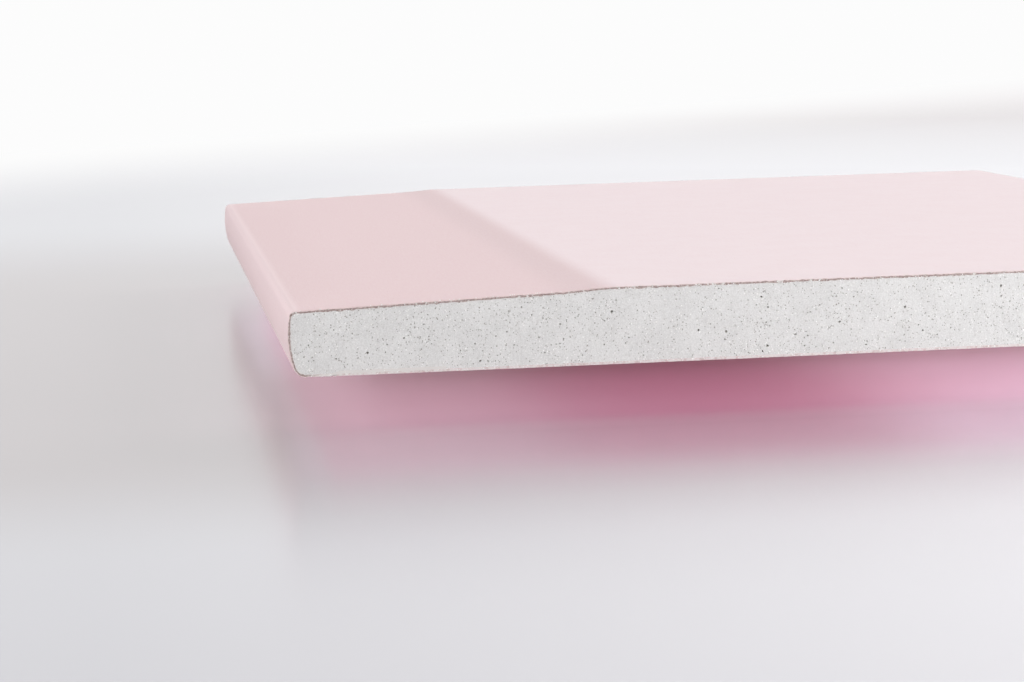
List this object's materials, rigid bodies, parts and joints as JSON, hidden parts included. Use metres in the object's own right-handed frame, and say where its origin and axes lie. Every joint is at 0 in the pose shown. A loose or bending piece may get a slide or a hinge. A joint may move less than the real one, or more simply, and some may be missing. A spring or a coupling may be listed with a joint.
{
  "type": "drywall sheet sample",
  "caption": "Hand sample of pink-papered drywall sheet: tapered, paper-wrapped long edge on one side, sawn square on the others to show the porous gypsum core.",
  "frame": {"origin": "middle of the underside, on the surface that the sample lies on", "axes": "+Z out of the face, +Y along the tapered long edge, +X from the tapered edge to the sawn side"},
  "size_m": [0.19, 0.26, 0.0125],
  "materials": {
    "gypsum": "foamed gypsum, sawn, matt and porous",
    "face_paper": "calendered pink liner paper, matt",
    "back_paper": "uncoated pink liner paper, matt"
  },
  "bodies": {
    "root": {"gypsum_core": "gypsum", "face_paper": "face_paper", "back_paper": "back_paper"}
  },
  "joints": []
}
